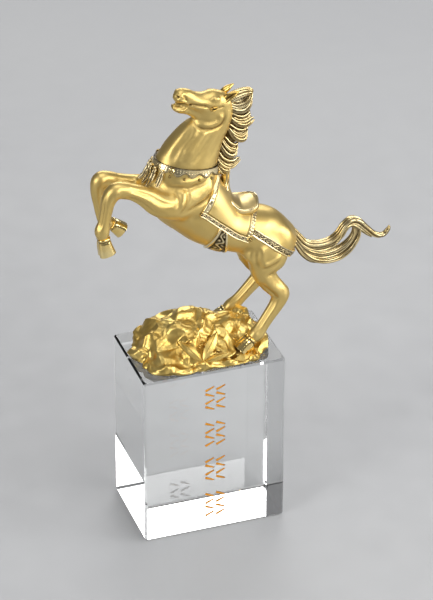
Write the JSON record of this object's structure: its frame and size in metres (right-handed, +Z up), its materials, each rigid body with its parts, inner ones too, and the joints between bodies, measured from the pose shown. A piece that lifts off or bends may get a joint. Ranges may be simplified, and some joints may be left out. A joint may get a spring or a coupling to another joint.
{
  "type": "horse trophy on crystal plinth",
  "caption": "Gilt cast rearing horse with saddle and tack on a crumpled rock, glued to a tall clear crystal block with an engraved column of gold strokes.",
  "frame": {"origin": "centre of the crystal block's underside", "axes": "+Z up; -Y is the engraved front face; the horse rears towards -X and its tail streams to +X"},
  "size_m": [0.1692, 0.054, 0.26],
  "materials": {
    "gilt": "satin gilt body, polished mane, tail, hooves, saddle and rock",
    "crystal": "clear, polished and chamfered"
  },
  "bodies": {
    "root": {"horse_on_rock": "gilt", "crystal_block": "crystal"}
  },
  "joints": []
}
